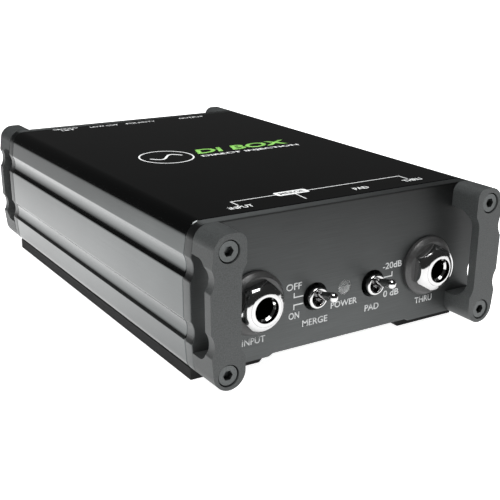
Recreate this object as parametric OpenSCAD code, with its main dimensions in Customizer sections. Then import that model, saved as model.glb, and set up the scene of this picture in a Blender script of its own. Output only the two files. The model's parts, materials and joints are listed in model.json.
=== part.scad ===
// Active direct injection box: an extruded case closed by two thick end plates, with a
// guard bar on each corner, two jacks and two toggles in front, three toggles and a
// three-pin socket behind, and one circuit board inside.
// Frame: +Z up, the front plate faces -Y, +X is to the right of a person who faces the
// front, and the origin is on the ground under the middle of the box. Millimetres.

/* [Case] */
// Length over the two end plates
body_len = 138; // [130:1:160]
// Thickness of an end plate
plate_t = 3.8; // [3:0.1:5]
// Height of the top face above the ground
top_z = 45; // [45:1:48]
// Height of the case's lowest face above the ground, which is the pads' thickness
base_z = 3.6; // [3:0.1:4.2]
// Half width of the side walls at their widest, between the two grooves
wall_x = 50.1; // [49.5:0.1:51]
// Wall thickness of the extrusion
wall_t = 2.2; // [1.8:0.1:2.5]
// Radius of the two long top edges
corner_r = 4.6; // [4:0.1:5]
// Radius of the two long bottom edges
foot_r = 3.4; // [3:0.1:3.6]

/* [Side grooves] */
// Height of the middle of the upper groove
groove_high_z = 33.4; // [32:0.1:34]
// Chord of the upper groove
groove_high_w = 6.4; // [5:0.1:6.6]
// Depth of the upper groove
groove_high_d = 0.95; // [0.6:0.05:1.1]
// Height of the middle of the lower groove
groove_low_z = 15.8; // [15:0.05:18]
// Chord of the lower groove
groove_low_w = 6.4; // [5:0.1:6.6]
// Depth of the lower groove
groove_low_d = 0.95; // [0.5:0.05:1]

/* [Guard bars] */
// How far a guard stands out from its end plate
guard_out = 10.4; // [9:0.1:12]
// Thickness of the upright bar
bar_t = 2.9; // [2.5:0.1:4]
// Height of the guard's finger window above the ground, at its foot
window_low_z = 10.45; // [10:0.05:12]
// Height of the top of the finger window
window_high_z = 37.75; // [36:0.05:38]
// Distance of the guard screws from the middle plane
screw_x = 44.7; // [44.5:0.1:45]
// Height of the lower guard screws
screw_low_z = 7; // [6.9:0.1:7.4]
// Height of the upper guard screws
screw_high_z = 40.4; // [40:0.1:41]

/* [Controls] */
// Distance of the jacks from the middle plane
jack_x = 30.6; // [30:0.1:31.5]
// Height of the jack axes
jack_z = 20.7; // [20.5:0.1:22]
// Bore of the jack sleeve, for a 6.35 plug
plug_bore_r = 3.25; // [3.22:0.01:3.27]
// Distance of the front toggles from the middle plane
toggle_x = 10.3; // [9.8:0.1:12]
// Height of all toggle axes
toggle_z = 18.6; // [18.6:0.1:20]
// Tilt of a lever from straight out, each way
toggle_tilt = 12.5; // [10:0.5:13]
// Height of the power lamp
lamp_z = 19.4; // [19:0.1:21]
// Distance between neighbouring toggles on the rear plate
rear_pitch = 15; // [14.5:0.1:15.5]
// Place of the three-pin socket, to the right of the middle plane
socket_x = 23; // [22.5:0.1:23.5]
// Height of the three-pin socket
socket_z = 24.4; // [24:0.1:25]

/* [Board] */
// Height of the board's upper face
board_z = 12.2; // [12:0.1:12.4]
// Thickness of the board
board_t = 1.6; // [1.4:0.1:1.6]

/* [Hidden] */
$fn = 96;
eps = 0.01;

half_len = body_len / 2;
shell_len = body_len - 2 * plate_t;

// wall outline: how far each height's wall stands in from wall_x
foot_in = 1;        // at the top of the bottom corner
groove_low_in = 0.44;   // at the lower groove's lower edge
groove_low_top_in = 0.2;
groove_high_in = 0.4;   // at the upper groove's upper edge
corner_in = 0.9;    // at the foot of the top corner
corner_cx = wall_x - corner_in - corner_r;
corner_cz = top_z - corner_r;
foot_cx = wall_x - foot_in - foot_r;
foot_cz = base_z + foot_r;

// raised middle of the underside, between the pads
floor_rise = 0.7;
floor_half = 24;
floor_slope = 1.4;

// inside of the extrusion
room_x = wall_x - 1.1 - wall_t;
room_low_z = base_z + floor_rise + wall_t;
room_high_z = top_z - wall_t;
room_r = 2.5;
boss_r = 3;
slot_gap = 0.2;     // between the board and each rib that holds it
rib_t = 1.5;
rib_w = 2.4;

// guards
guard_in_x = 39.6;  // inner face at the two ends
guard_waist = 1.4;  // how much narrower the bar is between its ends
waist_r = 6;
guard_end_r = 4.75;
guard_top_r = 3;
window_r = 4.2;

// M3 cap screws
m3_r = 1.5;
m3_hole_r = 1.6;
m3_tapped_r = 1.53;
head_r = 2.75;
head_h = 3;
recess_r = 3.1;
recess_d = 3.4;
hex_af = 2.5;
hex_deep = 1.6;
bite = 8;           // depth of the screw in the extrusion

// pads
pad_out_x = 47.4;
pad_in_x = 24;
pad_bevel = 1.4;
pad_front = 1;      // from the front plate's inner face
pad_rear = 0.4;     // short of the rear plate's outer face

// jacks
sleeve_r = 4.75;
sleeve_out = 6.4;
sleeve_in = 8;      // depth behind the plate's outer face
lip_r = 3.7;        // widened mouth of the bore
lip_d = 1.4;
lip_cone = 0.6;
nut_af = 12.7;
nut_back = 2.3;
nut_corner_r = nut_af / sqrt(3);
washer_r = 9;
washer_bevel = 1.1;
washer_bore_r = 4.9;
shoulder_r = 6;
jack_hole_r = 6.15;
jack_half = 7.8;
jack_len = 27;
plug_room_r = 3.7;
flange_r = 5.95;
flange_t = 1.5;
jack_wall = 1.5;    // front wall of the housing, gripped between the flange and the plate

// toggles
bush_r = 3.17;
bush_out = 2;
rim_r = 0.53;       // half the thickness of the bushing's rounded rim
mouth_r = bush_r - 2 * rim_r;
lip_hole_r = 1.62;  // smaller than the ball, so the lever can't be pulled out
seat_r = 1.95;
pivot_y = 2.6;
toggle_hole_r = 4.1;
case_y0 = 5;
frame_t = 0.8;
case_len = 9;
case_half_x = 5.7;
case_half_z = 6.1;
lever_len = 11;     // from the pivot to the middle of the tip
tip_r = 1.4;
ball_r = 1.9;
pin_r = 0.5;        // cross pin through the ball, which is the hinge
pin_half = 2.7;
pin_gap = 0.05;
neck_r = 0.8;       // the lever widens from its neck to its tip
stem_r = 1.38;
tail_len = 4.2;
tail_r = 0.7;
tail_room = 2.6;

// lamp
lens_r = 2.2;
lens_hole_r = 2.23;
lens_out = 0.9;
lens_back = 0.8;
lens_dome_r = 3.2;
led_r = 1.5;

// three-pin socket
socket_flange_x = 26;
socket_flange_z = 31;
socket_flange_t = 2;
socket_flange_r = 3;
barrel_r = 11.7;
barrel_hole_r = 11.9;
barrel_len = 20;
cavity_r = 8.1;
cavity_d = 15;
contact_r = 1.2;
contact_ring_r = 4.2;
contact_len = 10.4;
contact_angles = [35, 145, 270];
socket_screw_x = 9.5;
socket_screw_z = 12;

// ---- shared helpers -------------------------------------------------------------

// Extrudes an outline drawn as [x, z] from y0 towards +Y
module along_y(y0, len) {
    translate([0, y0 + len, 0]) rotate([90, 0, 0]) linear_extrude(len) children();
}

// Extrudes an outline drawn as [y, z] along X
module along_x(x0, len) {
    translate([x0, 0, 0]) rotate([90, 0, 90]) linear_extrude(len) children();
}

// A round bar along Y from y0 to y1
module rod(r, y0, y1) {
    translate([0, y1, 0]) rotate([90, 0, 0]) cylinder(r = r, h = y1 - y0);
}

// Turns a profile drawn as [radius, distance outwards] about the Y axis, outwards to -Y
module turned() {
    rotate([90, 0, 0]) rotate_extrude() children();
}

// A box given by its lowest and highest corners
module block(low, high) {
    translate(low) cube(high - low);
}

// Children are drawn with the plate's outer face at y = 0 and outwards to -Y
module front_at(x = 0, z = 0) {
    translate([x, -half_len, z]) children();
}

module rear_at(x = 0, z = 0) {
    translate([x, half_len, z]) rotate([0, 0, 180]) children();
}

module round_rect(x0, z0, x1, z1, r) {
    translate([x0 + r, z0]) square([x1 - x0 - 2 * r, z1 - z0]);
    translate([x0, z0 + r]) square([x1 - x0, z1 - z0 - 2 * r]);
    for (x = [x0 + r, x1 - r], z = [z0 + r, z1 - r]) translate([x, z]) circle(r = r);
}

function arc_radius(chord, depth) = (chord * chord / 4 + depth * depth) / (2 * depth);

// ---- case -----------------------------------------------------------------------

module groove(z, chord, depth, inset) {
    r = arc_radius(chord, depth);
    translate([wall_x - inset + r - depth, z]) circle(r = r);
}

// Right half of the case's outline, without its grooves
module half_outline() {
    polygon([
        [0, base_z],
        [foot_cx, base_z],
        [foot_cx + foot_r, foot_cz],
        [wall_x - groove_low_in, groove_low_z - groove_low_w / 2],
        [wall_x - groove_low_top_in, groove_low_z + groove_low_w / 2],
        [wall_x, groove_high_z - groove_high_w / 2],
        [wall_x - groove_high_in, groove_high_z + groove_high_w / 2],
        [corner_cx + corner_r, corner_cz],
        [corner_cx, top_z],
        [0, top_z]
    ]);
    translate([foot_cx, foot_cz]) circle(r = foot_r);
    translate([corner_cx, corner_cz]) circle(r = corner_r);
}

module grooved_half() {
    difference() {
        half_outline();
        groove(groove_high_z, groove_high_w, groove_high_d, groove_high_in / 2);
        groove(groove_low_z, groove_low_w, groove_low_d, (groove_low_in + groove_low_top_in) / 2);
    }
}

// Outline of the case and of both end plates, drawn as [x, z]
module body_outline() {
    difference() {
        union() {
            grooved_half();
            mirror([1, 0]) grooved_half();
        }
        polygon([
            [-floor_half - floor_slope, base_z - eps],
            [floor_half + floor_slope, base_z - eps],
            [floor_half, base_z + floor_rise],
            [-floor_half, base_z + floor_rise]
        ]);
    }
}

module guard_screw_places() {
    for (x = [-screw_x, screw_x], z = [screw_low_z, screw_high_z]) translate([x, z]) children();
}

// Two ribs on each side wall hold the board's edges
module board_ribs() {
    for (side = [0, 1]) mirror([side, 0]) {
        translate([room_x - rib_w, board_z + slot_gap]) square([rib_w + eps, rib_t]);
        translate([room_x - rib_w, board_z - board_t - slot_gap - rib_t]) square([rib_w + eps, rib_t]);
    }
}

module shell() {
    color("#232425") along_y(-shell_len / 2, shell_len) difference() {
        union() {
            difference() {
                body_outline();
                round_rect(-room_x, room_low_z, room_x, room_high_z, room_r);
            }
            intersection() {
                union() {
                    guard_screw_places() circle(r = boss_r);
                    board_ribs();
                }
                body_outline();
            }
        }
        guard_screw_places() circle(r = m3_tapped_r);
    }
}

module front_plate() {
    color("#2f3132") front_at() along_y(0, plate_t) difference() {
        body_outline();
        guard_screw_places() circle(r = m3_hole_r);
        for (x = [-jack_x, jack_x]) translate([x, jack_z]) circle(r = jack_hole_r);
        for (x = [-toggle_x, toggle_x]) translate([x, toggle_z]) circle(r = toggle_hole_r);
        translate([0, lamp_z]) circle(r = lens_hole_r);
    }
}

module rear_plate() {
    color("#2f3132") along_y(half_len - plate_t, plate_t) difference() {
        body_outline();
        guard_screw_places() circle(r = m3_hole_r);
        for (i = [0 : 2]) translate([-i * rear_pitch, toggle_z]) circle(r = toggle_hole_r);
        translate([socket_x, socket_z]) {
            circle(r = barrel_hole_r);
            for (s = [-1, 1]) translate([s * socket_screw_x, -s * socket_screw_z]) circle(r = m3_tapped_r);
        }
    }
}

// Rubber strip under the right side; the left one is its mirror image
module pad() {
    color("#1c1d1d") along_y(-shell_len / 2 + pad_front, body_len - plate_t - pad_front - pad_rear) polygon([
        [pad_in_x, base_z],
        [pad_in_x, pad_bevel],
        [pad_in_x + pad_bevel, 0],
        [pad_out_x, 0],
        [pad_out_x, base_z]
    ]);
}

// ---- guards ---------------------------------------------------------------------

// Outline of the right-hand guard seen from the front, drawn as [x, z]
module guard_outline() {
    foot_x = guard_in_x + guard_end_r;
    foot_z = screw_low_z + 0.65;
    difference() {
        union() {
            intersection() {
                body_outline();
                union() {
                    translate([guard_in_x + guard_top_r, foot_z]) square([20, top_z]);
                    translate([guard_in_x, foot_z]) square([20, top_z - guard_top_r - foot_z]);
                    translate([guard_in_x + guard_top_r, top_z - guard_top_r]) circle(r = guard_top_r);
                }
            }
            translate([foot_x, foot_z]) circle(r = guard_end_r);
        }
        translate([guard_in_x + guard_waist - waist_r, 0]) {
            for (z = [window_low_z + 5, window_high_z - 5]) translate([0, z]) circle(r = waist_r);
            translate([0, window_low_z + 5]) square([waist_r, window_high_z - window_low_z - 10]);
        }
    }
}

// Finger window between the bar and the end plate, drawn as [y, z]
module window_outline() {
    y0 = -guard_out + bar_t;
    h = window_high_z - window_low_z;
    translate([y0 + window_r, window_low_z]) square([-y0 - window_r + 1, h]);
    translate([y0, window_low_z + window_r]) square([-y0 + 1, h - 2 * window_r]);
    for (z = [window_low_z + window_r, window_high_z - window_r])
        translate([y0 + window_r, z]) circle(r = window_r);
}

module guard() {
    color("#303233") difference() {
        along_y(-guard_out, guard_out) guard_outline();
        along_x(guard_in_x - 5, 20) window_outline();
        for (z = [screw_low_z, screw_high_z]) translate([screw_x, 0, z]) {
            rod(m3_hole_r, -guard_out - 1, 1);
            rod(recess_r, -guard_out - 1, -guard_out + recess_d);
        }
    }
}

// Socket-head screw through a guard, its plate and into the extrusion
module guard_screw() {
    seat = -guard_out + recess_d;
    difference() {
        union() {
            rod(head_r, seat - head_h, seat);
            rod(m3_r, seat - eps, plate_t + bite);
        }
        translate([0, seat - head_h + hex_deep, 0]) rotate([90, 0, 0])
            cylinder(r = hex_af / sqrt(3), h = 2 * hex_deep, $fn = 6);
    }
}

module four_guard_screws() {
    color("#3c3e40") for (x = [-screw_x, screw_x], z = [screw_low_z, screw_high_z])
        translate([x, 0, z]) guard_screw();
}

// ---- jacks ----------------------------------------------------------------------

// Insulating shoulder washer: a thick black collar outside, a shoulder in the plate's hole
module jack_washer() {
    color("#161717") turned() difference() {
        union() {
            polygon([
                [0, 0],
                [washer_r, 0],
                [washer_r, nut_back - washer_bevel],
                [washer_r - washer_bevel, nut_back],
                [0, nut_back]
            ]);
            translate([0, -plate_t + 0.2]) square([shoulder_r, plate_t]);
        }
        translate([0, -plate_t]) square([washer_bore_r, plate_t + nut_back + 1]);
    }
}

// Everything under the rounded face that the nut and the sleeve share
module under_dome() {
    rise = sleeve_out - nut_back;
    translate([0, -sleeve_in]) square([nut_corner_r, sleeve_in + nut_back]);
    translate([0, nut_back]) square([lip_r, rise]);
    intersection() {
        translate([lip_r, nut_back]) scale([nut_corner_r - lip_r, rise]) circle(r = 1);
        translate([lip_r, nut_back]) square([nut_corner_r, rise]);
    }
}

// Plated sleeve with the plug's bore and a flange inside the housing
module jack_sleeve() {
    color("#d9dadb") turned() difference() {
        union() {
            intersection() {
                translate([0, -sleeve_in]) square([sleeve_r, sleeve_in + sleeve_out]);
                under_dome();
            }
            translate([0, -plate_t - jack_wall - flange_t]) square([flange_r, flange_t]);
        }
        translate([0, -sleeve_in - 1]) square([plug_bore_r, 30]);
        polygon([
            [0, sleeve_out - lip_d - lip_cone],
            [plug_bore_r, sleeve_out - lip_d - lip_cone],
            [lip_r, sleeve_out - lip_d],
            [lip_r, sleeve_out + 1],
            [0, sleeve_out + 1]
        ]);
    }
}

module jack_nut(turn) {
    color("#e2e3e4") intersection() {
        rotate([0, turn, 0]) rotate([90, 0, 0]) translate([0, 0, nut_back]) difference() {
            cylinder(r = nut_corner_r, h = sleeve_out, $fn = 6);
            translate([0, 0, -1]) cylinder(r = sleeve_r + 0.05, h = 10, $fn = 96);
        }
        turned() under_dome();
    }
}

module jack_body() {
    low = board_z - jack_z;
    top = jack_half;
    color("#191a1b") translate([0, plate_t, 0]) difference() {
        block([-jack_half, 0, low], [jack_half, jack_len, top]);
        rod(sleeve_r + 0.1, -1, 4.5);
        rod(flange_r + 0.1, jack_wall, jack_wall + flange_t + 0.1);
        rod(plug_room_r, 0, jack_len - 1.5);
        // slots for the two contact springs
        block([-1.6, 16, 0], [1.6, 24, top + 1]);
        block([-1.6, 8.5, low - 1], [1.6, 13.5, 0]);
    }
}

// Tip spring above the plug's path and sleeve spring below it, each in a slot of the housing
module jack_contacts() {
    low = board_z - jack_z;
    color("#c9a652") translate([0, plate_t, 0]) {
        block([-1.3, 16.3, 5.4], [1.3, 24, 5.8]);
        block([-1.3, 19, 2.6], [1.3, 19.4, 5.6]);
        block([-1.3, 19, 2.3], [1.3, 21.5, 2.7]);
        block([-1.3, 21.1, 2.5], [1.3, 21.5, 5.6]);
        block([-1.3, 8.8, -3.9], [1.3, 13.2, -3.5]);
        block([-1.3, 10.8, low], [1.3, 11.2, -3.7]);
    }
}

// ---- toggles --------------------------------------------------------------------

module switch_case() {
    y0 = case_y0 + frame_t;
    color("#20355c") difference() {
        block([-case_half_x, y0, -case_half_z], [case_half_x, y0 + case_len, case_half_z]);
        block([-tail_room / 2 - 0.6, y0 - 1, -tail_room], [tail_room / 2 + 0.6, y0 + 3.4, tail_room]);
    }
}

// Round neck through the plate's hole and the metal frame that holds the case
module switch_bushing() {
    color("#dcddde") difference() {
        union() {
            rod(bush_r, -bush_out + rim_r, case_y0 + eps);
            turned() translate([bush_r - rim_r, bush_out - rim_r]) circle(r = rim_r);
            block([-case_half_x, case_y0, -case_half_z], [case_half_x, case_y0 + frame_t, case_half_z]);
        }
        rod(mouth_r, -bush_out - 1, 0.4);
        rod(lip_hole_r, 0, 2);
        rod(seat_r, pivot_y - 1.1, case_y0 + frame_t + 1);
        cross_pin(pin_r + pin_gap, pin_half + 0.1);
    }
}

// Lever with a ball tip, a pivot ball in the bushing and a short tail that works the contacts
module lever_profile() {
    intersection() {
        translate([0, -20]) square([10, 60]);
        union() {
            circle(r = ball_r);
            translate([0, lever_len]) circle(r = tip_r);
            polygon([[0, 0], [neck_r, 0], [stem_r, lever_len], [0, lever_len]]);
            translate([0, -tail_len]) square([tail_r, tail_len]);
        }
    }
}

module switch_lever() {
    color("#e4e5e6") {
        translate([0, pivot_y, 0]) rotate([-toggle_tilt, 0, 0]) turned() lever_profile();
        cross_pin(pin_r, pin_half);
    }
}

module cross_pin(r, half) {
    translate([-half, pivot_y, 0]) rotate([0, 90, 0]) cylinder(r = r, h = 2 * half);
}

// Three pins from the back of one case down through the board
module three_pins() {
    back = case_y0 + frame_t + case_len;
    foot = board_z - board_t - 1 - toggle_z;
    for (x = [-3.8, 0, 3.8]) translate([x, 0, 0]) {
        block([-0.4, back + 0.02, -1.2], [0.4, back + 1.8, -0.8]);
        block([-0.4, back + 1.4, foot], [0.4, back + 1.8, -0.8]);
    }
}

module switch_pins() {
    color("#c8c9cb") {
        for (x = [-toggle_x, toggle_x]) front_at(x, toggle_z) three_pins();
        for (i = [0 : 2]) rear_at(-i * rear_pitch, toggle_z) three_pins();
    }
}

// ---- lamp -----------------------------------------------------------------------

// Clear light pipe with a domed face, pushed into the plate
module power_lens() {
    color("#d8e4e8") turned() intersection() {
        translate([0, -plate_t - lens_back]) square([lens_r, plate_t + lens_back + lens_out]);
        union() {
            translate([0, lens_out - lens_dome_r]) circle(r = lens_dome_r);
            translate([0, -plate_t - lens_back]) square([lens_r, plate_t + lens_back]);
        }
    }
}

module power_led() {
    color("#e9f1ea") translate([0, plate_t + 1.2, 0]) {
        rod(led_r, 0, 3.4);
        rod(led_r + 0.4, 3.4 - eps, 4.4);
    }
}

module power_led_leads() {
    y = plate_t + 1.2 + 4.4;
    foot = board_z - board_t - 1 - lamp_z;
    color("#c8c9cb") for (x = [-1.27, 1.27]) translate([x, 0, 0]) {
        block([-0.25, y, -0.25], [0.25, y + 2, 0.25]);
        block([-0.25, y + 1.5, foot], [0.25, y + 2, 0.25]);
    }
}

// ---- three-pin output socket ----------------------------------------------------

module socket_screw_places() {
    for (s = [-1, 1]) translate([s * socket_screw_x, 0, s * socket_screw_z]) children();
}

module output_socket_shell() {
    color("#2a2b2c") difference() {
        union() {
            along_y(-socket_flange_t, socket_flange_t) round_rect(
                -socket_flange_x / 2, -socket_flange_z / 2,
                socket_flange_x / 2, socket_flange_z / 2, socket_flange_r);
            rod(barrel_r, -eps, barrel_len);
        }
        rod(cavity_r, -socket_flange_t - 1, cavity_d - socket_flange_t);
        // the insert's seat behind the cavity
        rod(cavity_r - 0.6, 0, barrel_len + 1);
        // key slot above the cavity
        block(
            [-1.6, -socket_flange_t - 1, cavity_r - 1],
            [1.6, cavity_d - socket_flange_t - 4, cavity_r + 1.1]
        );
        socket_screw_places() {
            rod(m3_hole_r, -socket_flange_t - 1, 1);
            turned() polygon([
                [0, 0],
                [m3_hole_r, 0],
                [recess_r, socket_flange_t + 0.1],
                [0, socket_flange_t + 0.1]
            ]);
        }
    }
}

module contact_places() {
    for (a = contact_angles) translate([contact_ring_r * cos(a), 0, contact_ring_r * sin(a)]) children();
}

module output_socket_insert() {
    color("#141515") difference() {
        rod(cavity_r - 0.65, cavity_d - socket_flange_t, barrel_len - 0.5);
        contact_places() rod(contact_r + 0.03, 0, barrel_len + 1);
    }
}

// Three round contacts with rounded tips
module output_socket_pins() {
    root = cavity_d - socket_flange_t;
    color("#cdb468") contact_places() {
        rod(contact_r, root - contact_len + contact_r, barrel_len + 2);
        translate([0, root - contact_len + contact_r, 0]) sphere(r = contact_r);
    }
    // tails that turn down into the board
    foot = board_z - board_t - 1 - socket_z;
    color("#cdb468") for (a = contact_angles) translate([contact_ring_r * cos(a), 0, 0])
        block([-0.5, barrel_len + 0.9, foot], [0.5, barrel_len + 1.9, contact_ring_r * sin(a)]);
}

module output_socket_screws() {
    color("#3c3e40") socket_screw_places() difference() {
        union() {
            turned() polygon([
                [0, 0],
                [m3_r, 0],
                [2.9, socket_flange_t - 0.15],
                [0, socket_flange_t - 0.15]
            ]);
            rod(m3_r, -eps, plate_t + 0.7);
        }
        // cross recess
        for (a = [0, 90]) rotate([0, a, 0])
            block([-1.5, -socket_flange_t - 1, -0.3], [1.5, -socket_flange_t + 1, 0.3]);
    }
}

// ---- board ----------------------------------------------------------------------

module main_board() {
    board_x = room_x - 0.5;
    board_y = half_len - plate_t - 1;
    color("#1d5a36") difference() {
        block([-board_x, -board_y, board_z - board_t], [board_x, board_y, board_z]);
        // pins of the toggles and of the lamp pass through
        for (x = [-toggle_x, toggle_x]) front_at(x, 0) pin_row();
        for (i = [0 : 2]) rear_at(-i * rear_pitch, 0) pin_row();
        for (x = [-1.27, 1.27]) front_at(x, 0) translate([0, plate_t + 7.35, 0]) cylinder(r = 0.6, h = 30);
        for (a = contact_angles) rear_at(socket_x + contact_ring_r * -cos(a), 0)
            translate([0, barrel_len + 1.4, 0]) cylinder(r = 0.8, h = 30);
    }
}

module pin_row() {
    for (x = [-3.8, 0, 3.8]) translate([x, case_y0 + frame_t + case_len + 1.6, 0]) cylinder(r = 0.7, h = 30);
}

// Screened output transformer with its mounting rim
module audio_transformer() {
    color("#8b8f92") translate([-24, 24, board_z]) {
        translate([0, 0, 1]) cylinder(r = 11, h = 17);
        cylinder(r = 12, h = 1 + eps);
    }
}

module chip(x, y, w, l) {
    translate([x, y, board_z]) {
        block([-w / 2, -l / 2, 0.4], [w / 2, l / 2, 2.2]);
        for (side = [-1, 1], k = [0 : floor(l / 2.54) - 1])
            translate([side * (w / 2 + 0.5), (k - (floor(l / 2.54) - 1) / 2) * 2.54, 0])
                block([-0.6, -0.25, 0], [0.6, 0.25, 1.2]);
    }
}

module board_chips() {
    color("#222325") {
        chip(4, -30, 5, 10.2);
        chip(4, -12, 5, 10.2);
        chip(4, 6, 5, 10.2);
    }
}

module round_capacitors() {
    color("#22345e") for (x = [20, 30, 40], y = [-20, -6, 8]) translate([x, y, board_z]) {
        cylinder(r = 4, h = 11);
    }
}

module film_capacitors() {
    color("#a63a2c") for (x = [-40, -31, -22, -13], y = [-20, -8]) {
        block([x - 2.5, y - 4, board_z], [x + 2.5, y + 4, board_z + 8.5]);
    }
}

module board_resistors() {
    color("#6f8fa8") for (i = [0 : 7]) translate([-5.5, -34 + i * 6, board_z + 1.3]) {
        rotate([0, 90, 0]) translate([0, 0, -2.6]) cylinder(r = 1.2, h = 5.2);
        for (side = [-1, 1]) resistor_lead(side);
    }
}

module resistor_lead(side) {
    mirror([side < 0 ? 1 : 0, 0, 0]) {
        block([2.5, -0.25, -0.25], [3.6, 0.25, 0.25]);
        block([3.1, -0.25, -1.3], [3.6, 0.25, 0.2]);
    }
}

// ---- assembly -------------------------------------------------------------------

shell();
front_plate();
rear_plate();
mirror([1, 0, 0]) pad();  // left_pad
pad();  // right_pad

front_at() mirror([1, 0, 0]) guard();  // front_left_guard
front_at() guard();  // front_right_guard
rear_at() guard();  // rear_left_guard
rear_at() mirror([1, 0, 0]) guard();  // rear_right_guard
front_at() four_guard_screws();  // front_guard_screws
rear_at() four_guard_screws();  // rear_guard_screws

front_at(-jack_x, jack_z) jack_body();  // input_jack_body
front_at(-jack_x, jack_z) jack_sleeve();  // input_jack_sleeve
front_at(-jack_x, jack_z) jack_nut(-13);  // input_jack_nut
front_at(-jack_x, jack_z) jack_washer();  // input_jack_washer
front_at(-jack_x, jack_z) jack_contacts();  // input_jack_contacts
front_at(jack_x, jack_z) jack_body();  // thru_jack_body
front_at(jack_x, jack_z) jack_sleeve();  // thru_jack_sleeve
front_at(jack_x, jack_z) jack_nut(-28);  // thru_jack_nut
front_at(jack_x, jack_z) jack_washer();  // thru_jack_washer
front_at(jack_x, jack_z) jack_contacts();  // thru_jack_contacts

front_at(-toggle_x, toggle_z) switch_case();  // merge_switch_case
front_at(-toggle_x, toggle_z) switch_bushing();  // merge_switch_bushing
front_at(-toggle_x, toggle_z) switch_lever();  // merge_switch_lever
front_at(toggle_x, toggle_z) switch_case();  // pad_switch_case
front_at(toggle_x, toggle_z) switch_bushing();  // pad_switch_bushing
front_at(toggle_x, toggle_z) switch_lever();  // pad_switch_lever
rear_at(-2 * rear_pitch, toggle_z) switch_case();  // ground_switch_case
rear_at(-2 * rear_pitch, toggle_z) switch_bushing();  // ground_switch_bushing
rear_at(-2 * rear_pitch, toggle_z) switch_lever();  // ground_switch_lever
rear_at(-rear_pitch, toggle_z) switch_case();  // lowcut_switch_case
rear_at(-rear_pitch, toggle_z) switch_bushing();  // lowcut_switch_bushing
rear_at(-rear_pitch, toggle_z) switch_lever();  // lowcut_switch_lever
rear_at(0, toggle_z) switch_case();  // polarity_switch_case
rear_at(0, toggle_z) switch_bushing();  // polarity_switch_bushing
rear_at(0, toggle_z) switch_lever();  // polarity_switch_lever
switch_pins();

front_at(0, lamp_z) power_lens();
front_at(0, lamp_z) power_led();
front_at(0, lamp_z) power_led_leads();

rear_at(socket_x, socket_z) output_socket_shell();
rear_at(socket_x, socket_z) output_socket_insert();
rear_at(socket_x, socket_z) output_socket_pins();
rear_at(socket_x, socket_z) output_socket_screws();

main_board();
audio_transformer();
board_chips();
round_capacitors();
film_capacitors();
board_resistors();
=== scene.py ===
import json
import math

import bmesh
import bpy
from mathutils import Matrix, Vector


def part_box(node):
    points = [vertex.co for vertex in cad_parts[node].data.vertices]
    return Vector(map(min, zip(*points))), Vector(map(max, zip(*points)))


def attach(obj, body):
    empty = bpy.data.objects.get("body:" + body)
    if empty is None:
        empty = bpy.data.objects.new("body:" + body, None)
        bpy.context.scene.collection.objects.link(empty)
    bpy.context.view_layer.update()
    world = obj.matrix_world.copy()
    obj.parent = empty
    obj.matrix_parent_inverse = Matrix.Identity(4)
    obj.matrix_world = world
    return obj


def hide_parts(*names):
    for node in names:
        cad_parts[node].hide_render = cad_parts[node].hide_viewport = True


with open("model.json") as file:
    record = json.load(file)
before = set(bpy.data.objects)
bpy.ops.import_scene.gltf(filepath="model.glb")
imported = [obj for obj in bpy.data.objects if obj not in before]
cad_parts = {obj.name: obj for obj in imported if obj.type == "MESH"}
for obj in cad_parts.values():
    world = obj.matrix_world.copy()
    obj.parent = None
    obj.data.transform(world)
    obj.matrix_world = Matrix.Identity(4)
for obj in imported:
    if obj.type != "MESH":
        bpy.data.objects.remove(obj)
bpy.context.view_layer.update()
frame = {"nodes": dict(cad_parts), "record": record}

mm = 0.001
nodes = frame["nodes"]


# small helpers

def put(tree, kind, **values):
    # adds a shader node; names that match an input set it, the others set the node's own fields
    node = tree.nodes.new(kind)
    for key, value in values.items():
        name = key.replace("_", " ")
        if name in node.inputs:
            node.inputs[name].default_value = value
        else:
            setattr(node, key, value)
    return node


def join(tree, start, end):
    tree.links.new(start, end)


def grain(tree, size, detail=3.0):
    # noise whose grain is size mm along X, Y and Z of the box
    place = put(tree, "ShaderNodeTexCoord")
    scale = put(tree, "ShaderNodeMapping", Scale=tuple(1 / (s * mm) for s in size))
    noise = put(tree, "ShaderNodeTexNoise", Scale=1.0, Detail=detail, Roughness=0.6)
    join(tree, place.outputs["Object"], scale.inputs["Vector"])
    join(tree, scale.outputs["Vector"], noise.inputs["Vector"])
    return noise.outputs["Fac"]


def ramp(tree, factor, stops):
    # stops are (place, grey or colour)
    node = put(tree, "ShaderNodeValToRGB")
    band = node.color_ramp.elements
    while len(band) < len(stops):
        band.new(0.5)
    for mark, (place, tone) in zip(band, stops):
        mark.position = place
        colour = (tone, tone, tone) if isinstance(tone, (int, float)) else tone
        mark.color = (*colour, 1)
    join(tree, factor, node.inputs["Fac"])
    return node.outputs["Color"]


def mottle(tree, noise, low, high, band=(0.3, 0.7)):
    # one tone where the noise is below the band, the other above it
    return ramp(tree, noise, [(band[0], low), (band[1], high)])


def spread(tree, value, low, high, start=0.0, end=1.0, smooth=False):
    # goes from low to high while value goes from start to end
    node = put(tree, "ShaderNodeMapRange", interpolation_type="SMOOTHSTEP" if smooth else "LINEAR")
    for socket, number in zip(("From Min", "From Max", "To Min", "To Max"), (start, end, low, high)):
        node.inputs[socket].default_value = number
    join(tree, value, node.inputs["Value"])
    return node.outputs["Result"]


def times(tree, first, second):
    blend = put(tree, "ShaderNodeMix", data_type="RGBA", blend_type="MULTIPLY")
    blend.inputs["Factor"].default_value = 1.0
    join(tree, first, blend.inputs[6])      # the two colour sockets, and the colour that comes out
    join(tree, second, blend.inputs[7])
    return blend.outputs[2]


def relief(tree, height, strength, depth):
    node = put(tree, "ShaderNodeBump", Strength=strength, Distance=depth * mm)
    join(tree, height, node.inputs["Height"])
    return node.outputs["Normal"]


def startFinish(name):
    finish = bpy.data.materials.new(name)
    finish.use_nodes = True
    tree = finish.node_tree
    return finish, tree, tree.nodes["Principled BSDF"]


# finishes

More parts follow.
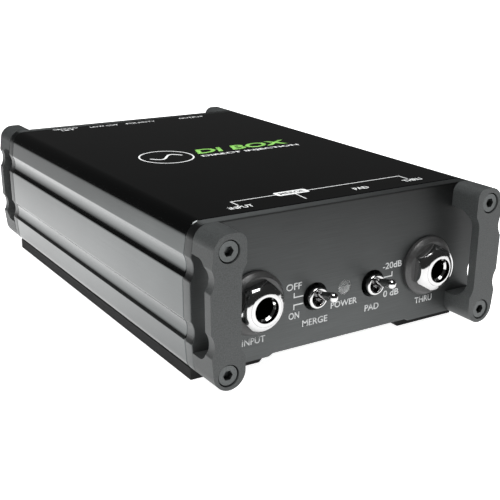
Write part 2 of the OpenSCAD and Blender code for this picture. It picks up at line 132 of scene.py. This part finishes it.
metalLooks = {
    # dark and light tone, grain in mm along X Y Z, lowest and highest roughness, relief in mm;
    # metal is how much of it is bare, the rest is dyed and scatters light with that much shine;
    # fade is a painted reflection, the tone changing along a direction from one place in mm to
    # another;
    # tilt is painted light and shade, the tone changing as a face turns from upright (0) to level
    # (1): slanted faces painted darker and, with gain, a level one painted lighter
    "caseAnodised": {"tones": (0.074, 0.088), "grain": (0.16, 30, 0.16), "rough": (0.12, 0.16),
                     "relief": 0.003, "strength": 0.12, "metal": 1.0},
    # brushed grain, with a painted reflection (fade) and painted light and shade (tilt) on top
    "plateBrushedPaintedLight": {"tones": (0.041, 0.06), "grain": (12, 0.2, 0.16), "rough": (0.32, 0.44),
                     "relief": 0.004, "strength": 0.35, "metal": 0.5, "shine": 0.3,
                     "fade": {"along": (-0.22, 0, -1), "from": -52, "to": 0, "tones": (0.16, 1.48)},
                     "tilt": {"stops": [(0.1, 1.0), (0.35, 0.3), (0.85, 0.3), (0.95, 1.0)],
                              "level": 0.9, "paintedTopLight": 4.0}},
    "guardBlasted": {"tones": (0.038, 0.07), "grain": (0.35, 0.35, 0.35), "rough": (0.42, 0.56),
                     "relief": 0.02, "strength": 0.7, "metal": 0.2, "shine": 0.3},
    "screwBlackened": {"tones": (0.06, 0.09), "grain": (0.5, 0.5, 0.5), "rough": (0.24, 0.38),
                       "relief": 0.004, "strength": 0.3, "metal": 0.8},
    "socketLacquer": {"tones": (0.05, 0.07), "grain": (0.35, 0.35, 0.35), "rough": (0.3, 0.42),
                      "relief": 0.01, "strength": 0.4, "metal": 0.6},
    "transformerCan": {"tones": (0.4, 0.5), "grain": (0.3, 0.3, 12), "rough": (0.25, 0.4),
                       "relief": 0.004, "strength": 0.3, "metal": 1.0},
    "pinTin": {"tones": (0.6, 0.72), "grain": (0.6, 0.6, 0.6), "rough": (0.2, 0.35),
               "relief": 0.003, "strength": 0.3, "metal": 1.0},
}
metalCast = {
    # patches in mm, the darker one's tone, and the noise's band in which they change
    "tint": (0.94, 1.0, 1.0), "patch": 22, "patchTone": 0.92, "patchBand": (0.35, 0.65),
}


def paintedReflectionAlong(tree, look):
    place = put(tree, "ShaderNodeTexCoord")
    along = put(tree, "ShaderNodeVectorMath", operation="DOT_PRODUCT")
    along.inputs[1].default_value = look["along"]
    join(tree, place.outputs["Object"], along.inputs[0])
    return spread(tree, along.outputs["Value"], *look["tones"], look["from"] * mm, look["to"] * mm)


def paintedLightByTilt(tree, look):
    # painted light and shade: level faces lighter, as if lit from above, slanted ones darker
    facing = put(tree, "ShaderNodeNewGeometry")
    parts = put(tree, "ShaderNodeSeparateXYZ")
    join(tree, facing.outputs["True Normal"], parts.inputs["Vector"])
    tilt = parts.outputs["Z"]
    paintedTopLight = spread(tree, tilt, 1.0, look["paintedTopLight"], look["level"])
    return times(tree, ramp(tree, tilt, look["stops"]), paintedTopLight)


def metal(name):
    look = metalLooks[name]
    finish, tree, shader = startFinish(name)
    fine = grain(tree, look["grain"])
    broad = grain(tree, (metalCast["patch"],) * 3, detail=2.0)
    low, high = (tuple(tone * part for part in metalCast["tint"]) for tone in look["tones"])
    patches = mottle(tree, broad, metalCast["patchTone"], 1.0, metalCast["patchBand"])
    tone = times(tree, mottle(tree, fine, low, high), patches)
    # painted reflection: the plate is darker towards its top and towards +x, lighter low down
    if "fade" in look:
        tone = times(tree, tone, paintedReflectionAlong(tree, look["fade"]))
    # painted light and shade by how a face is turned
    if "tilt" in look:
        tone = times(tree, tone, paintedLightByTilt(tree, look["tilt"]))
    join(tree, tone, shader.inputs["Base Color"])
    join(tree, spread(tree, fine, *look["rough"]), shader.inputs["Roughness"])
    join(tree, relief(tree, fine, look["strength"], look["relief"]), shader.inputs["Normal"])
    shader.inputs["Metallic"].default_value = look["metal"]
    shader.inputs["Specular IOR Level"].default_value = look.get("shine", 0.5)
    return finish


chromeLook = {
    # smudges and scratches in mm
    "tones": (0.42, 0.47), "rough": (0.08, 0.12), "smudge": 2.5, "scratch": (0.12, 3.0, 0.12),
    "strength": 0.12, "relief": 0.002,
}


def chrome():
    finish, tree, shader = startFinish("chromePlate")
    smudge = grain(tree, (chromeLook["smudge"],) * 3, detail=4.0)
    scratch = grain(tree, chromeLook["scratch"], detail=2.0)
    low, high = chromeLook["tones"]
    join(tree, mottle(tree, smudge, low, high), shader.inputs["Base Color"])
    join(tree, spread(tree, smudge, *chromeLook["rough"]), shader.inputs["Roughness"])
    join(tree, relief(tree, scratch, chromeLook["strength"], chromeLook["relief"]),
         shader.inputs["Normal"])
    shader.inputs["Metallic"].default_value = 1.0
    return finish


goldLook = {"tones": ((0.72, 0.48, 0.16), (0.86, 0.62, 0.27)), "rough": (0.14, 0.3), "smudge": 1.4}


def gold():
    finish, tree, shader = startFinish("contactGold")
    smudge = grain(tree, (goldLook["smudge"],) * 3, detail=4.0)
    low, high = goldLook["tones"]
    join(tree, mottle(tree, smudge, low, high), shader.inputs["Base Color"])
    join(tree, spread(tree, smudge, *goldLook["rough"]), shader.inputs["Roughness"])
    shader.inputs["Metallic"].default_value = 1.0
    return finish


mouldedLooks = {
    # dark and light colour, grain in mm, roughness low and high, relief in mm
    "footRubber": {"tones": ((0.010,) * 3, (0.019,) * 3), "grain": 0.5, "rough": (0.7, 0.85),
                   "relief": 0.03, "strength": 0.6, "shine": 0.2},
    "washerBlack": {"tones": ((0.022,) * 3, (0.036,) * 3), "grain": 0.6, "rough": (0.3, 0.42),
                    "relief": 0.01, "strength": 0.3},
    "housingBlack": {"tones": ((0.014,) * 3, (0.022,) * 3), "grain": 0.8, "rough": (0.4, 0.55),
                     "relief": 0.015, "strength": 0.4},
    "switchBlue": {"tones": ((0.02, 0.045, 0.16), (0.03, 0.07, 0.22)), "grain": 0.8,
                   "rough": (0.35, 0.5), "relief": 0.012, "strength": 0.3},
    "chipBlack": {"tones": ((0.02,) * 3, (0.034,) * 3), "grain": 0.3, "rough": (0.5, 0.65),
                  "relief": 0.01, "strength": 0.4},
    "capacitorBlue": {"tones": ((0.02, 0.035, 0.12), (0.03, 0.055, 0.17)), "grain": 2.0,
                      "rough": (0.2, 0.32), "relief": 0.01, "strength": 0.2},
    "filmRed": {"tones": ((0.34, 0.04, 0.025), (0.46, 0.07, 0.045)), "grain": 1.4,
                "rough": (0.22, 0.36), "relief": 0.03, "strength": 0.4},
    "resistorBlue": {"tones": ((0.18, 0.33, 0.46), (0.28, 0.45, 0.6)), "grain": 0.8,
                     "rough": (0.25, 0.4), "relief": 0.01, "strength": 0.3},
    "ledEpoxy": {"tones": ((0.72, 0.8, 0.76), (0.86, 0.92, 0.88)), "grain": 1.0,
                 "rough": (0.1, 0.2), "relief": 0.005, "strength": 0.2},
    "printWhite": {"tones": ((0.62, 0.63, 0.63), (0.74, 0.75, 0.75)), "grain": 0.25,
                   "rough": (0.5, 0.7), "relief": 0.004, "strength": 0.4},
    "printSilver": {"tones": ((0.40, 0.41, 0.41), (0.52, 0.53, 0.53)), "grain": 0.25,
                    "rough": (0.45, 0.65), "relief": 0.004, "strength": 0.4},
    "printBlack": {"tones": ((0.02,) * 3, (0.03,) * 3), "grain": 0.25, "rough": (0.5, 0.7),
                   "relief": 0.004, "strength": 0.4},
    "printGreen": {"tones": ((0.17, 0.42, 0.08), (0.24, 0.53, 0.12)), "grain": 0.25,
                   "rough": (0.5, 0.7), "relief": 0.004, "strength": 0.4},
}


mouldedBand = (0.32, 0.68)


def moulded(name):
    look = mouldedLooks[name]
    finish, tree, shader = startFinish(name)
    fine = grain(tree, (look["grain"],) * 3, detail=4.0)
    low, high = look["tones"]
    join(tree, mottle(tree, fine, low, high, mouldedBand), shader.inputs["Base Color"])
    join(tree, spread(tree, fine, *look["rough"]), shader.inputs["Roughness"])
    join(tree, relief(tree, fine, look["strength"], look["relief"]), shader.inputs["Normal"])
    shader.inputs["Specular IOR Level"].default_value = look.get("shine", 0.5)
    return finish


boardLook = {
    # pitch, grain and relief in mm; tracks and their width as shares of the pitch
    "mask": (0.012, 0.09, 0.035), "track": (0.03, 0.17, 0.07), "pitch": 2.54, "tracks": 0.35,
    "trackWidth": 0.03, "grain": 3, "rough": (0.25, 0.4), "strength": 0.4, "relief": 0.03,
}


def board():
    finish, tree, shader = startFinish("boardGreen")
    place = put(tree, "ShaderNodeTexCoord")
    scale = put(tree, "ShaderNodeMapping", Scale=(1 / (boardLook["pitch"] * mm),) * 3)
    tracks = put(tree, "ShaderNodeTexBrick", Scale=boardLook["tracks"],
                 Color1=(*boardLook["mask"], 1), Color2=(*boardLook["mask"], 1),
                 Mortar=(*boardLook["track"], 1), Mortar_Size=boardLook["trackWidth"])
    join(tree, place.outputs["Object"], scale.inputs["Vector"])
    join(tree, scale.outputs["Vector"], tracks.inputs["Vector"])
    join(tree, tracks.outputs["Color"], shader.inputs["Base Color"])
    join(tree, spread(tree, grain(tree, (boardLook["grain"],) * 3), *boardLook["rough"]),
         shader.inputs["Roughness"])
    join(tree, relief(tree, tracks.outputs["Fac"], boardLook["strength"], boardLook["relief"]),
         shader.inputs["Normal"])
    return finish


lensLook = {"tint": (0.93, 0.95, 0.95), "clear": 0.9, "bend": 1.49, "smudge": 1.2,
            "rough": (0.02, 0.09)}


def clearLens():
    finish, tree, shader = startFinish("lensClear")
    shader.inputs["Base Color"].default_value = (*lensLook["tint"], 1)
    shader.inputs["Transmission Weight"].default_value = lensLook["clear"]
    shader.inputs["IOR"].default_value = lensLook["bend"]
    smudge = grain(tree, (lensLook["smudge"],) * 3)
    join(tree, spread(tree, smudge, *lensLook["rough"]), shader.inputs["Roughness"])
    return finish


finishes = {name: metal(name) for name in metalLooks}
finishes.update({name: moulded(name) for name in mouldedLooks})
finishes.update({"chromePlate": chrome(), "contactGold": gold(), "boardGreen": board(),
                 "lensClear": clearLens()})
print("finishes made:", len(finishes))

slotFinish = {
    "case_black": "caseAnodised", "plate_black": "plateBrushedPaintedLight", "guard_black": "guardBlasted",
    "foot_rubber": "footRubber", "black_screws": "screwBlackened", "plated_chrome": "chromePlate",
    "washer_black": "washerBlack", "housing_black": "housingBlack", "contact_gold": "contactGold",
    "switch_blue": "switchBlue", "tinned_pins": "pinTin", "clear_lens": "lensClear",
    "led_epoxy": "ledEpoxy", "socket_black": "socketLacquer", "board_green": "boardGreen",
    "transformer_can": "transformerCan", "chip_black": "chipBlack",
    "capacitor_blue": "capacitorBlue", "film_red": "filmRed", "resistor_blue": "resistorBlue",
}
slotOf = {part["node"]: part["material_slot"] for part in frame["record"]["subparts"]}


def coat(piece, finishName):
    piece.data.materials.clear()
    piece.data.materials.append(finishes[finishName])


for name, node in nodes.items():
    coat(node, slotFinish[slotOf[name]])


# machined edges

def smoothEdges(mesh, angle):
    for face in mesh.polygons:
        face.use_smooth = True
    mesh.set_sharp_from_angle(angle=math.radians(angle))


def addPiece(name, mesh, finishName):
    piece = bpy.data.objects.new(name, mesh)
    bpy.context.scene.collection.objects.link(piece)
    coat(piece, finishName)
    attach(piece, "box")
    return piece


edgeBreaks = {
    # chamfer in mm, its steps, and the smallest corner in degrees that gets one; free lets a
    # chamfer run on over short edges; a piece whose faces are round has no chamfer
    "plate": {"width": 0.5, "steps": 2, "corner": 50, "free": True},
    "shell": {"width": 0.25, "steps": 1, "corner": 50, "free": True},
    "guard": {"width": 0.45, "steps": 3, "corner": 50},
    "pad": {"width": 0.35, "steps": 2, "corner": 35},
    "screws": {"width": 0.22, "steps": 2, "corner": 50},
    "washer": {"width": 0.15, "steps": 2, "corner": 35},
    "socket": {"width": 0.3, "steps": 2, "corner": 50},
    "round": {},
}
edgeWork = {
    # doubles closer than weld in mm and faces flatter than flat in degrees are joined first;
    # profile is how round a chamfer is; a corner above sharp in degrees stays a line
    "weld": 0.0005, "flat": 0.5, "profile": 0.6, "sharp": {"chamfered": 40, "round": 25},
}
holeField = {"halfWidth": 46, "low": 6, "high": 43}     # mm: part of a plate's face with its holes


def breakEdges(nodeName, kind, where=None):
    # a copy of the node with its sharp edges broken, which is shown in its place
    look = edgeBreaks[kind]
    shape = bmesh.new()
    shape.from_mesh(nodes[nodeName].data)
    bmesh.ops.remove_doubles(shape, verts=shape.verts, dist=edgeWork["weld"] * mm)
    bmesh.ops.dissolve_limit(shape, angle_limit=math.radians(edgeWork["flat"]), verts=shape.verts,
                             edges=shape.edges)
    if look:
        corner = math.radians(look["corner"])
        sharp = [edge for edge in shape.edges if len(edge.link_faces) == 2
                 and edge.calc_face_angle(0) > corner and (where is None or where(edge))]
        bmesh.ops.bevel(shape, geom=sharp, offset=look["width"] * mm, segments=look["steps"],
                        profile=edgeWork["profile"], affect="EDGES",
                        clamp_overlap=not look.get("free", False))
    mesh = bpy.data.meshes.new(nodeName)
    shape.to_mesh(mesh)
    shape.free()
    if "custom_normal" in mesh.attributes:
        mesh.attributes.remove(mesh.attributes["custom_normal"])
    smoothEdges(mesh, edgeWork["sharp"]["chamfered" if look else "round"])
    slotName = slotOf[nodeName]
    piece = addPiece(nodeName + ".edges", mesh, slotFinish[slotName])
    if look:
        piece.modifiers.new("fair", "WEIGHTED_NORMAL").keep_sharp = True
    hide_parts(nodeName)


def onRim(edge):
    # the outline of the case and of its plates gets a chamfer, holes stay sharp
    here = (edge.verts[0].co + edge.verts[1].co) / 2
    return not (abs(here.x) < holeField["halfWidth"] * mm
                and holeField["low"] * mm < here.z < holeField["high"] * mm)


breakEdges("shell", "shell", onRim)
breakEdges("front_plate", "plate", onRim)
breakEdges("rear_plate", "plate", onRim)
for side in ("front_left", "front_right", "rear_left", "rear_right"):
    breakEdges(side + "_guard", "guard")
for side in ("left", "right"):
    breakEdges(side + "_pad", "pad")
for end in ("front", "rear"):
    breakEdges(end + "_guard_screws", "screws")
for jack in ("input", "thru"):
    breakEdges(jack + "_jack_washer", "washer")
    breakEdges(jack + "_jack_nut", "round")
    breakEdges(jack + "_jack_sleeve", "round")
for switch in ("merge", "pad", "ground", "lowcut", "polarity"):
    breakEdges(switch + "_switch_bushing", "round")
breakEdges("power_lens", "round")
breakEdges("output_socket_shell", "socket")
breakEdges("output_socket_screws", "screws")
print("edges broken")


# printed words and lines

# mm: thickness of the ink, width of a drawn line; mitre keeps a sharp corner of a line short
ink = {"lift": 0.012, "line": 0.36, "mitre": 0.35, "roundness": 4}

# a face's origin and its two directions of writing; its points are given in mm
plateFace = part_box("front_plate")[0].y
onFront = Matrix.Translation((0, plateFace, 0)) @ Matrix.Rotation(math.radians(90), 4, "X")
onTop = Matrix.Translation((0, plateFace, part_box("shell")[1].z))


def addWords(shape, face, words, lean=0.0, weight=0.0, layer=1):
    # the words, their centre, cap height and width; they are squeezed or widened to fit
    text, x, y, height, width = words
    curve = bpy.data.curves.new("words", "FONT")
    curve.body = text
    curve.size = 1.0
    curve.shear = lean
    curve.offset = weight
    curve.resolution_u = ink["roundness"]
    holder = bpy.data.objects.new("words", curve)
    bpy.context.scene.collection.objects.link(holder)
    bpy.context.view_layer.update()
    settled = holder.evaluated_get(bpy.context.evaluated_depsgraph_get())
    flat = bpy.data.meshes.new_from_object(settled)
    xs = [v.co.x for v in flat.vertices]
    ys = [v.co.y for v in flat.vertices]
    tall = (height * mm) / (max(ys) - min(ys))
    wide = (width * mm) / (max(xs) - min(xs))
    middle = Vector(((max(xs) + min(xs)) / 2, (max(ys) + min(ys)) / 2, 0))
    place = (face @ Matrix.Translation((x * mm, y * mm, layer * ink["lift"] * mm))
             @ Matrix.Diagonal((wide, tall, 1, 1)) @ Matrix.Translation(-middle))
    flat.transform(place)
    shape.from_mesh(flat)
    bpy.data.objects.remove(holder)
    bpy.data.curves.remove(curve)
    bpy.data.meshes.remove(flat)


def inkPoint(shape, face, x, y):
    return shape.verts.new(face @ Vector((x * mm, y * mm, ink["lift"] * mm)))


def addLine(shape, face, points, width=ink["line"], closed=False):
    # a ribbon of even width along the points, with mitred corners
    half = width / 2
    count = len(points)
    sides = []
    for i, here in enumerate(points):
        here = Vector(here)
        before = Vector(points[i - 1]) if i > 0 or closed else None
        after = Vector(points[(i + 1) % count]) if i < count - 1 or closed else None
        steps = [(b - a).normalized() for a, b in ((before, here), (here, after))
                 if a is not None and b is not None]
        outward = [Vector((-s.y, s.x)) for s in steps]
        if len(outward) == 2:
            bisector = (outward[0] + outward[1]).normalized()
            reach = half / max(ink["mitre"], bisector.dot(outward[0]))
        else:
            bisector, reach = outward[0], half
        sides.append((here + bisector * reach, here - bisector * reach))
    corners = [[inkPoint(shape, face, p.x, p.y) for p in pair] for pair in sides]
    for i in range(count if closed else count - 1):
        a, b = corners[i], corners[(i + 1) % count]
        shape.faces.new((a[1], b[1], b[0], a[0]))


def addPatch(shape, face, points):
    shape.faces.new([inkPoint(shape, face, x, y) for x, y in points])


def arc(cx, cy, r, start, end, steps):
    span = [math.radians(start + (end - start) * i / steps) for i in range(steps + 1)]
    return [(cx + r * math.cos(a), cy + r * math.sin(a)) for a in span]


def roundedBox(x0, y0, x1, y1, r, steps):
    points = []
    for cx, cy, start in ((x1 - r, y0 + r, -90), (x1 - r, y1 - r, 0), (x0 + r, y1 - r, 90),
                          (x0 + r, y0 + r, 180)):
        points += arc(cx, cy, r, start, start + 90, steps)
    return points


def finishPrint(shape, name, finishName, face):
    outward = (face.to_3x3() @ Vector((0, 0, 1))).normalized()
    shape.normal_update()
    for patch in shape.faces:
        if patch.normal.dot(outward) < 0:
            patch.normal_flip()
    mesh = bpy.data.meshes.new(name)
    shape.to_mesh(mesh)
    shape.free()
    piece = addPiece(name, mesh, finishName)
    film = piece.modifiers.new("film", "SOLIDIFY")
    film.thickness = ink["lift"] * mm
    film.offset = -1        # the ink's back lies on the face


frontPrint = {
    # words: centre x and z above the ground, cap height and width, all in mm
    "words": [("INPUT", -30.55, 9.65, 2.0, 7.5), ("THRU", 30.75, 9.75, 2.0, 6.9),
              ("MERGE", -10.1, 11.2, 2.0, 8.8), ("PAD", 10.45, 11.25, 2.0, 5.3),
              ("POWER", 0.05, 14.6, 1.9, 9.5), ("OFF", -17.6, 22.8, 2.0, 5.2),
              ("ON", -17.4, 14.2, 2.0, 3.6), ("-20dB", 17.5, 23.0, 2.0, 7.2),
              ("0 dB", 17.55, 14.3, 2.0, 5.9)],
    "weight": 0.018,
    "tick": {"x": 17.5, "inner": 14.4, "high": (20.95, 19.6), "low": (15.95, 17.35)},
}


def printFront():
    silver = bmesh.new()
    for words in frontPrint["words"]:
        addWords(silver, onFront, words, weight=frontPrint["weight"])
    tick = frontPrint["tick"]
    for side in (-1, 1):
        for start, end in (tick["high"], tick["low"]):
            addLine(silver, onFront, [(side * tick["x"], start), (side * tick["x"], end),
                                      (side * tick["inner"], end)])
    finishPrint(silver, "front_words", "printSilver", onFront)


topPrint = {
    # y counts from the front plate's face
    "ring": {"x": -18.9, "y": 71.8, "r": 8.9, "line": 0.55, "steps": 72},
    "wave": {"height": 2.6, "reach": 5.9, "line": 0.825, "steps": 20},
    "route": {"y": 14.3, "drop": 10.2, "left": -29.4, "right": 30.5,
              "box": (-14.6, 12.7, -3.7, 16.3), "corner": 0.9, "cornerSteps": 5,
              "branch": [(-9.0, 12.7), (-9.4, 6.9)]},
    "words": [("INPUT", -29.5, 8.7, 2.3, 7.5), ("PAD", 11.3, 8.7, 2.3, 5.3),
              ("THRU", 31.0, 8.7, 2.3, 6.9),
              ("GROUND", -29.6, 132.3, 1.7, 9.6), ("LIFT", -29.6, 129.6, 1.7, 5.2),
              ("LOW CUT", -14.6, 130.8, 1.9, 11.6), ("POLARITY", 0.7, 130.8, 1.9, 12.4),
              ("OUTPUT", 23.0, 130.8, 1.9, 10.9)],
    "boxed": ("MERGE", -9.15, 14.5, 1.9, 8.4), "weight": 0.02,
    "subtitle": ("DIRECT INJECTION", 11.2, 67.2, 2.5, 38.6), "subtitleWeight": 0.035,
    "title": ("DI BOX", 11.5, 73.9, 6.3, 38.0), "titleWeight": 0.03, "titleLean": 0.25,
}


def printTop():
    white = bmesh.new()
    for words in topPrint["words"]:
        addWords(white, onTop, words, weight=topPrint["weight"])
    addWords(white, onTop, topPrint["subtitle"], weight=topPrint["subtitleWeight"])
    ring, wave, route = topPrint["ring"], topPrint["wave"], topPrint["route"]
    circle = arc(ring["x"], ring["y"], ring["r"], 0, 360, ring["steps"])[:-1]
    addLine(white, onTop, circle, ring["line"], closed=True)
    along = [i / wave["steps"] - 1 for i in range(2 * wave["steps"] + 1)]
    addLine(white, onTop, [(ring["x"] + wave["reach"] * share,
                            ring["y"] + wave["height"] * math.sin(math.pi * share))
                           for share in along], wave["line"])
    x0, y0, x1, y1 = route["box"]
    addLine(white, onTop, [(route["left"], route["drop"]), (route["left"], route["y"]),
                           (x0, route["y"])])
    addLine(white, onTop, [(x1, route["y"]), (route["right"], route["y"]),
                           (route["right"], route["drop"])])
    addPatch(white, onTop, roundedBox(x0, y0, x1, y1, route["corner"], route["cornerSteps"]))
    addLine(white, onTop, route["branch"])
    finishPrint(white, "top_words", "printWhite", onTop)
    black = bmesh.new()
    addWords(black, onTop, topPrint["boxed"], weight=topPrint["weight"], layer=2)
    finishPrint(black, "top_boxed_word", "printBlack", onTop)
    green = bmesh.new()
    addWords(green, onTop, topPrint["title"], topPrint["titleLean"], topPrint["titleWeight"])
    finishPrint(green, "top_title", "printGreen", onTop)


printFront()
printTop()
print("printing done")


# lamp

lampLook = {
    # mm: chip and cup radius, how far each stands out from the lamp's front, and the cup's rim;
    # a corner above sharp in degrees stays a line
    "chip": 0.35, "chipOut": 0.02, "cup": 1.25, "cupOut": 0.9, "rim": 0.15, "steps": 32,
    "sharp": 30,
}


def lampCup():
    # bright cup with its chip, seen through the lens
    low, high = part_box("power_led")
    middle = (low + high) / 2
    shape = bmesh.new()
    profile = [(lampLook["chip"], lampLook["chipOut"]), (lampLook["cup"], lampLook["cupOut"]),
               (lampLook["cup"] + lampLook["rim"], lampLook["cupOut"])]
    rings = [[shape.verts.new((middle.x + x * mm, low.y - out * mm, middle.z + z * mm))
              for x, z in arc(0, 0, r, 0, 360, lampLook["steps"])[:-1]] for r, out in profile]
    for inner, outer in zip(rings, rings[1:]):
        for a, b, c, d in zip(inner, inner[1:] + inner[:1], outer[1:] + outer[:1], outer):
            shape.faces.new((a, b, c, d))
    shape.faces.new(rings[0])
    bmesh.ops.recalc_face_normals(shape, faces=shape.faces)
    mesh = bpy.data.meshes.new("lamp_cup")
    shape.to_mesh(mesh)
    shape.free()
    smoothEdges(mesh, lampLook["sharp"])
    addPiece("lamp_cup", mesh, "ledEpoxy")


lampCup()
print("lamp done")


# floor, light and camera

floorLook = {
    # metres and degrees; the floor is pale and glows, more so from far away, on one side of a
    # line that is turned from the box's own; beside the box a pool of light fades into the dark
    "size": 8.0, "tone": 0.86, "rough": 0.8, "shine": 0.1,
    "line": {"turn": 17.7, "fade": (-0.24, -0.07)},
    "far": {"reach": (0.2, 1.0), "strength": (0.85, 1.15)},
    "pool": {"at": (-0.10, 0.02), "reach": 0.26, "strength": 1.1},
    "straight": 0.95,       # least glow for light that goes straight to the camera
}
roomLook = {
    # dim air, which the box mirrors, and the pale room that the camera itself sees
    "air": 0.045, "straight": 1.0,
    # place in metres, size, power; all point at aim; a mirrored one shows in bright metal
    "lights": [
        {"at": (-0.10, -0.28, 0.85), "size": (0.5, 0.5), "power": 7.0, "mirrored": True},
        {"at": (0.10, 0.12, 1.0), "size": (0.6, 0.6), "power": 8.0, "mirrored": False},
        {"at": (-0.7, -0.4, 0.5), "size": (0.4, 0.5), "power": 2.0, "mirrored": False},
    ],
    "aim": (0.0, 0.0, 0.02),
}


def toCamera(tree, otherwise, straight):
    # one value for light that goes straight to the camera, another for the rest
    path = put(tree, "ShaderNodeLightPath")
    return spread(tree, path.outputs["Is Camera Ray"], otherwise, straight)


def combine(tree, operation, first, second):
    node = put(tree, "ShaderNodeMath", operation=operation)
    join(tree, first, node.inputs[0])
    join(tree, second, node.inputs[1])
    return node.outputs["Value"]


def floorGlow(tree):
    line, far, pool = floorLook["line"], floorLook["far"], floorLook["pool"]
    place = put(tree, "ShaderNodeTexCoord").outputs["Object"]
    aligned = put(tree, "ShaderNodeMapping", Rotation=(0, 0, math.radians(line["turn"])))
    join(tree, place, aligned.inputs["Vector"])
    parts = put(tree, "ShaderNodeSeparateXYZ")
    join(tree, aligned.outputs["Vector"], parts.inputs["Vector"])
    beyondLine = spread(tree, parts.outputs["X"], 0, 1, *line["fade"], smooth=True)
    away = put(tree, "ShaderNodeVectorMath", operation="LENGTH")
    join(tree, place, away.inputs[0])
    farGlow = spread(tree, away.outputs["Value"], *far["strength"], *far["reach"], smooth=True)
    aside = put(tree, "ShaderNodeVectorMath", operation="DISTANCE")
    aside.inputs[1].default_value = (*pool["at"], 0)
    join(tree, place, aside.inputs[0])
    poolGlow = spread(tree, aside.outputs["Value"], pool["strength"], 0, 0, pool["reach"],
                      smooth=True)
    glow = combine(tree, "MAXIMUM", combine(tree, "MULTIPLY", beyondLine, farGlow), poolGlow)
    return combine(tree, "MAXIMUM", glow, toCamera(tree, 0, floorLook["straight"]))


def layFloor():
    half = floorLook["size"] / 2
    mesh = bpy.data.meshes.new("floor")
    mesh.from_pydata([(-half, -half, 0), (half, -half, 0), (half, half, 0), (-half, half, 0)], [],
                     [(0, 1, 2, 3)])
    floor = bpy.data.objects.new("floor", mesh)
    bpy.context.scene.collection.objects.link(floor)
    finish, tree, shader = startFinish("floorPale")
    shader.inputs["Base Color"].default_value = (floorLook["tone"],) * 3 + (1,)
    shader.inputs["Roughness"].default_value = floorLook["rough"]
    shader.inputs["Specular IOR Level"].default_value = floorLook["shine"]
    shader.inputs["Emission Color"].default_value = (1, 1, 1, 1)
    join(tree, floorGlow(tree), shader.inputs["Emission Strength"])
    mesh.materials.append(finish)


def hangLights():
    for i, light in enumerate(roomLook["lights"]):
        lamp = bpy.data.lights.new(f"softbox_{i}", "AREA")
        lamp.shape = "RECTANGLE"
        lamp.size, lamp.size_y = light["size"]
        lamp.energy = light["power"]
        holder = bpy.data.objects.new(f"softbox_{i}", lamp)
        bpy.context.scene.collection.objects.link(holder)
        holder.location = light["at"]
        holder.visible_glossy = light["mirrored"]
        aim = Vector(roomLook["aim"]) - holder.location
        holder.rotation_euler = aim.to_track_quat("-Z", "Y").to_euler()


def fillRoom():
    world = bpy.data.worlds.new("room")
    world.use_nodes = True
    tree = world.node_tree
    air = tree.nodes["Background"]
    air.inputs["Color"].default_value = (1, 1, 1, 1)
    join(tree, toCamera(tree, roomLook["air"], roomLook["straight"]), air.inputs["Strength"])
    bpy.context.scene.world = world


cameraLook = {
    # degrees round from the front, up and rolled, metres, and a lens in mm
    "azimuth": -32.71, "elevation": 18.35, "roll": 0.79, "distance": 0.31298,
    "aim": (0.0036, -0.0134, 0.0139), "lens": 67.15, "sensor": 36, "near": 0.01,
}


def placeCamera():
    around, up = math.radians(cameraLook["azimuth"]), math.radians(cameraLook["elevation"])
    back = Vector((math.sin(around) * math.cos(up), -math.cos(around) * math.cos(up), math.sin(up)))
    lens = bpy.data.cameras.new("camera")
    lens.lens = cameraLook["lens"]
    lens.sensor_width = cameraLook["sensor"]
    lens.clip_start = cameraLook["near"]
    camera = bpy.data.objects.new("camera", lens)
    bpy.context.scene.collection.objects.link(camera)
    camera.location = Vector(cameraLook["aim"]) + back * cameraLook["distance"]
    turn = (-back).to_track_quat("-Z", "Y").to_matrix().to_4x4()
    turn = turn @ Matrix.Rotation(math.radians(cameraLook["roll"]), 4, "Z")
    camera.rotation_euler = turn.to_euler()
    bpy.context.scene.camera = camera


layFloor()
hangLights()
fillRoom()
placeCamera()
bpy.context.scene.view_settings.view_transform = "Standard"
print("stage set")
